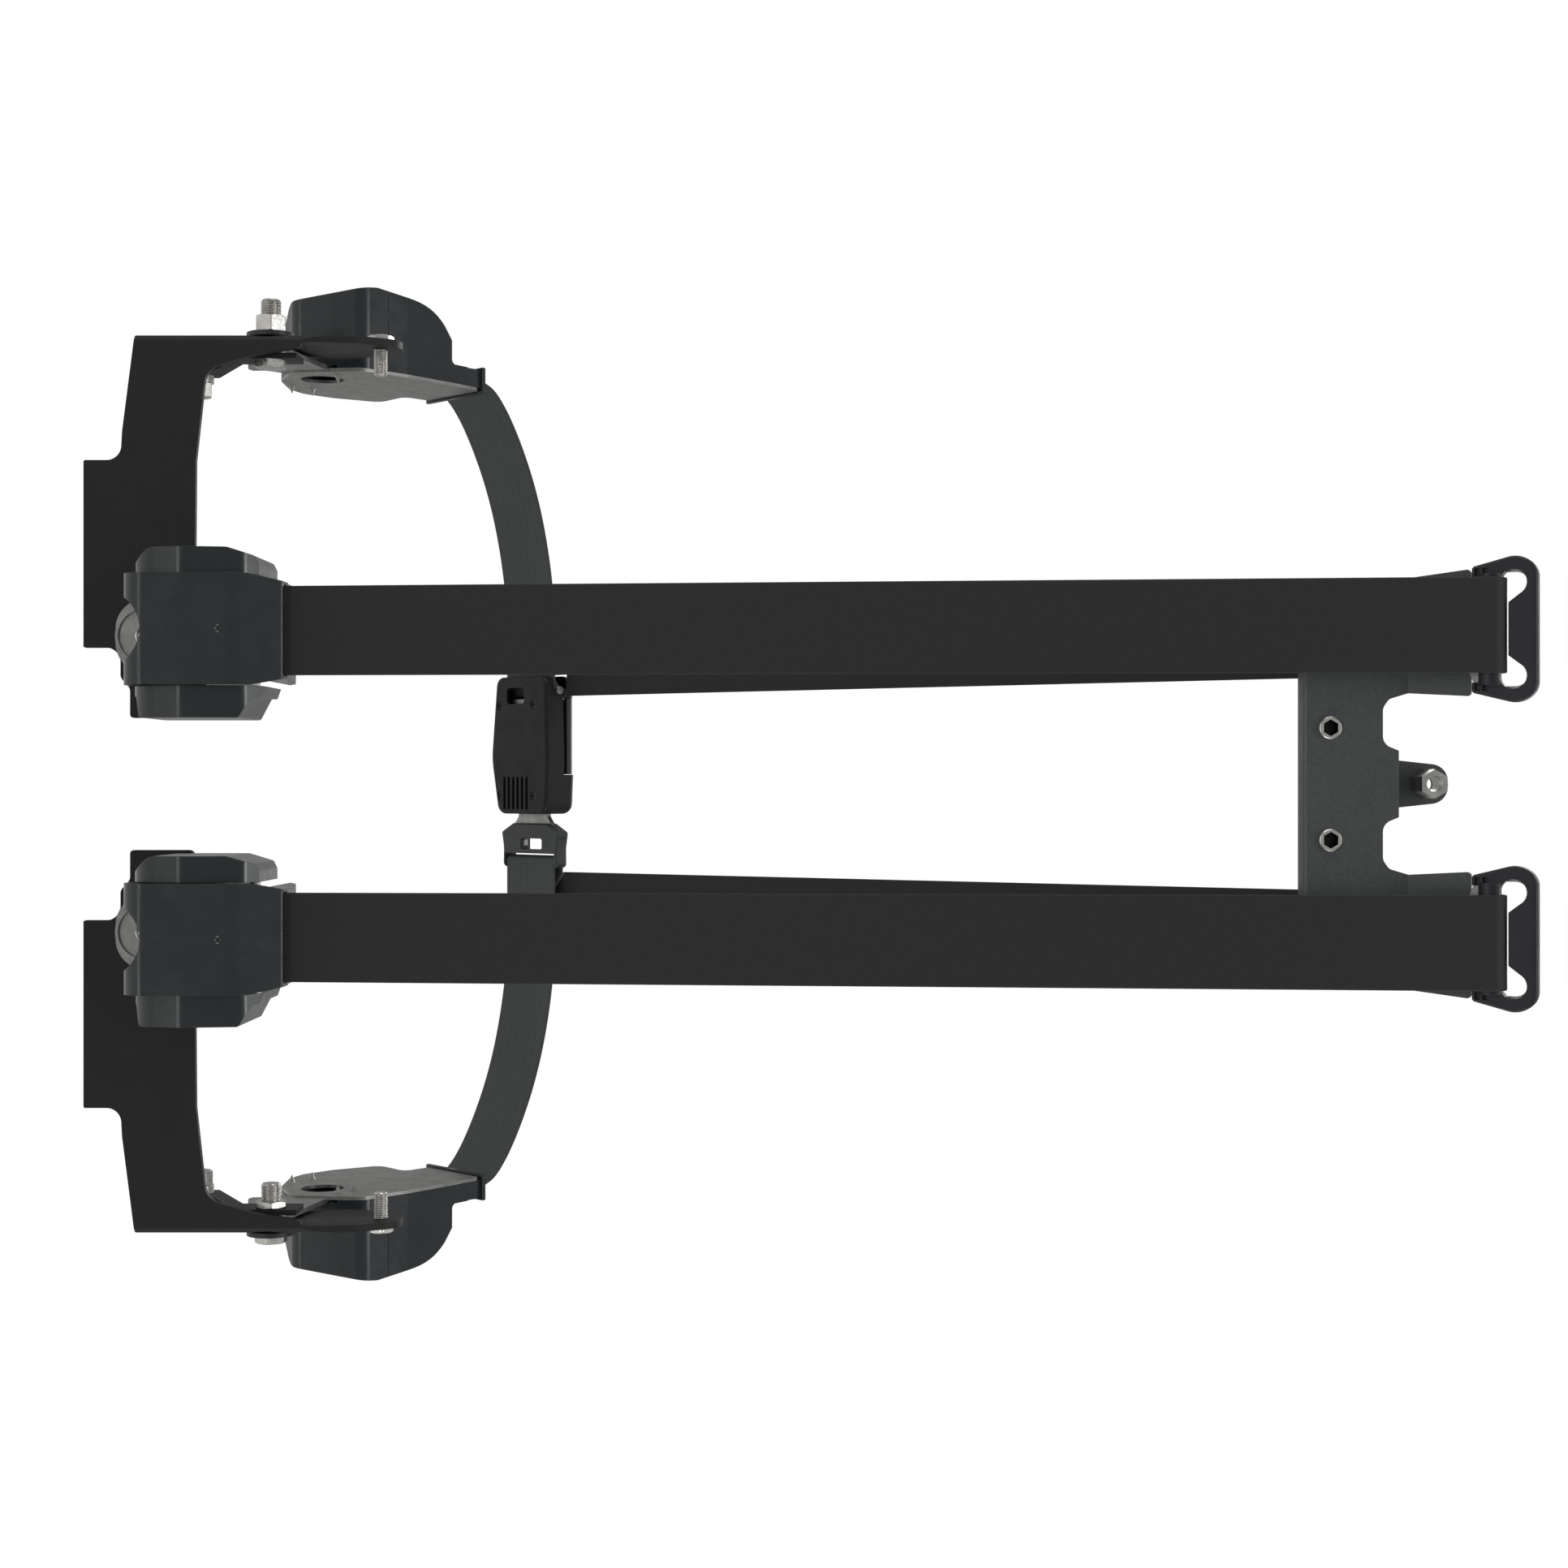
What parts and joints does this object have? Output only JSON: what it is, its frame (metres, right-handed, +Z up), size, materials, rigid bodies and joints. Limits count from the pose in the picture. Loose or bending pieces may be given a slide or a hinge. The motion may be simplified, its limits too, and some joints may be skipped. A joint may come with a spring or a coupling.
{
  "type": "four-point retractor seat belt",
  "caption": "Four-point seat belt with shoulder and lap retractors on stamped seat brackets, turning loops on an upper bracket, and a press-button buckle.",
  "frame": {"origin": "midway between the two lower anchor holes, on the lower brackets' front (mounting) face", "axes": "+Z up along the seat back, -Y the way the wearer faces, +X the wearer's left"},
  "size_m": [0.5688, 0.3547, 0.7521],
  "materials": {
    "bracket_coat": "fine speckled black powder coat",
    "upper_coat": "satin dark grey powder coat",
    "retractor_plastic": "smooth blue-grey black moulding",
    "plain_steel": "plain stamped steel",
    "spool_metal": "cast",
    "zinc": "bright zinc",
    "black_zinc": "black zinc",
    "spring_steel": "spring steel",
    "loop_plastic": "fine spark-eroded texture",
    "buckle_plastic": "matt black moulding",
    "button_plastic": "matt black moulding",
    "grip_plastic": "matt charcoal moulding",
    "shoulder_webbing": "woven polyester, black",
    "lap_webbing": "woven polyester, charcoal"
  },
  "bodies": {
    "root": {"lower_bracket_left": "bracket_coat", "lower_bracket_right": "bracket_coat", "anchor_straps": "bracket_coat", "upper_bracket": "upper_coat", "shoulder_cover_left": "retractor_plastic", "shoulder_cover_right": "retractor_plastic", "shoulder_sensor_cap_left": "retractor_plastic", "shoulder_sensor_cap_right": "retractor_plastic", "shoulder_spring_cap_left": "retractor_plastic", "shoulder_spring_cap_right": "retractor_plastic", "lap_cover_left": "retractor_plastic", "lap_cover_right": "retractor_plastic", "lap_end_covers": "retractor_plastic", "lap_webbing_mouths": "retractor_plastic", "shoulder_frame_left": "plain_steel", "shoulder_frame_right": "plain_steel", "lap_frame_left": "plain_steel", "lap_frame_right": "plain_steel", "buckle_frame": "plain_steel", "ear_bolts": "zinc", "ear_nuts": "zinc", "ear_tip_bolts": "zinc", "strap_bolts": "zinc", "strap_washers": "zinc", "tether_standoff": "zinc", "socket_screws": "zinc", "turning_loop_pivots": "zinc", "buckle_webbing_pin": "zinc", "ear_washers": "black_zinc", "buckle_screws": "black_zinc", "rewind_springs": "spring_steel", "button_spring": "spring_steel", "ejector_spring": "spring_steel", "buckle_housing": "buckle_plastic", "buckle_cover": "buckle_plastic", "shoulder_strap_left": "shoulder_webbing", "shoulder_strap_right": "shoulder_webbing", "lap_strap_left": "lap_webbing", "lap_strap_right": "lap_webbing"},
    "shoulder_reel_left": {"shoulder_spool_left": "spool_metal", "shoulder_webbing_roll_left": "shoulder_webbing"},
    "lap_reel_left": {"lap_spool_left": "spool_metal", "lap_webbing_roll_left": "lap_webbing"},
    "shoulder_pawl_left": {"shoulder_lock_pawl_left": "plain_steel"},
    "lap_pawl_left": {"lap_lock_pawl_left": "plain_steel"},
    "loop_left": {"turning_loop_left": "plain_steel", "turning_loop_cover_left": "loop_plastic"},
    "shoulder_reel_right": {"shoulder_spool_right": "spool_metal", "shoulder_webbing_roll_right": "shoulder_webbing"},
    "lap_reel_right": {"lap_spool_right": "spool_metal", "lap_webbing_roll_right": "lap_webbing"},
    "shoulder_pawl_right": {"shoulder_lock_pawl_right": "plain_steel"},
    "lap_pawl_right": {"lap_lock_pawl_right": "plain_steel"},
    "loop_right": {"turning_loop_right": "plain_steel", "turning_loop_cover_right": "loop_plastic"},
    "button": {"buckle_button": "button_plastic"},
    "latch": {"buckle_latch": "plain_steel"},
    "ejector": {"buckle_ejector": "buckle_plastic"},
    "tongue": {"tongue_plate": "plain_steel", "tongue_grip": "grip_plastic"}
  },
  "joints": [
    {"name": "shoulder_reel_left_turn", "type": "hinge", "parent": "root", "child": "shoulder_reel_left", "pos_m": [0.0805, 0.037, 0.037], "axis": [1, 0, 0], "continuous": true},
    {"name": "lap_reel_left_turn", "type": "hinge", "parent": "root", "child": "lap_reel_left", "pos_m": [0.259, -0.10269, 0.10609], "axis": [0, -0.7071, -0.7071], "continuous": true},
    {"name": "shoulder_pawl_left_drop", "type": "hinge", "parent": "root", "child": "shoulder_pawl_left", "pos_m": [0.11, 0.021, 0.062], "axis": [1, 0, 0], "range_deg": [0, 5.6], "stiffness_Nm_per_rad": 0.02, "springref_deg": -11.46},
    {"name": "lap_pawl_left_drop", "type": "hinge", "parent": "root", "child": "lap_pawl_left", "pos_m": [0.255, -0.08191, 0.08531], "axis": [0, 0.7071, 0.7071], "range_deg": [0, 5.6], "stiffness_Nm_per_rad": 0.02, "springref_deg": -11.46},
    {"name": "loop_left_swivel", "type": "hinge", "parent": "root", "child": "loop_left", "pos_m": [0.076, 0.11466, 0.6716], "axis": [0, 0.9063, -0.4226], "range_deg": [-8, 8], "deforming": ["shoulder_strap_left"]},
    {"name": "shoulder_reel_right_turn", "type": "hinge", "parent": "root", "child": "shoulder_reel_right", "pos_m": [-0.0805, 0.037, 0.037], "axis": [1, 0, 0], "continuous": true},
    {"name": "lap_reel_right_turn", "type": "hinge", "parent": "root", "child": "lap_reel_right", "pos_m": [-0.259, -0.10269, 0.10609], "axis": [0, -0.7071, -0.7071], "continuous": true},
    {"name": "shoulder_pawl_right_drop", "type": "hinge", "parent": "root", "child": "shoulder_pawl_right", "pos_m": [-0.051, 0.021, 0.062], "axis": [1, 0, 0], "range_deg": [0, 5.6], "stiffness_Nm_per_rad": 0.02, "springref_deg": -11.46},
    {"name": "lap_pawl_right_drop", "type": "hinge", "parent": "root", "child": "lap_pawl_right", "pos_m": [-0.255, -0.08191, 0.08531], "axis": [0, -0.7071, -0.7071], "range_deg": [0, 5.6], "stiffness_Nm_per_rad": 0.02, "springref_deg": -11.46},
    {"name": "loop_right_swivel", "type": "hinge", "parent": "root", "child": "loop_right", "pos_m": [-0.076, 0.11466, 0.6716], "axis": [0, 0.9063, -0.4226], "range_deg": [-8, 8], "deforming": ["shoulder_strap_right"]},
    {"name": "button_press", "type": "slide", "parent": "root", "child": "button", "axis": [0, 0.7071, -0.7071], "range_m": [0, 0.0025], "stiffness_N_per_m": 600, "springref_m": -0.004, "deforming": ["button_spring"]},
    {"name": "latch_rock", "type": "hinge", "parent": "root", "child": "latch", "pos_m": [0.022, -0.19094, 0.19434], "axis": [0, 0.7071, 0.7071], "range_deg": [0, 7]},
    {"name": "tongue_pull", "type": "slide", "parent": "root", "child": "tongue", "axis": [-1, 0, 0], "range_m": [0, 0.028], "deforming": ["lap_strap_right", "shoulder_strap_right"]},
    {"name": "ejector_push", "type": "slide", "parent": "root", "child": "ejector", "axis": [-1, 0, 0], "range_m": [0, 0.0085], "deforming": ["ejector_spring"]}
  ],
  "couplings": [
    {"joint": "latch_rock", "follows": "button_press", "rad_per_m": 48.8},
    {"joint": "ejector_push", "follows": "tongue_pull", "ratio": 0.3}
  ]
}
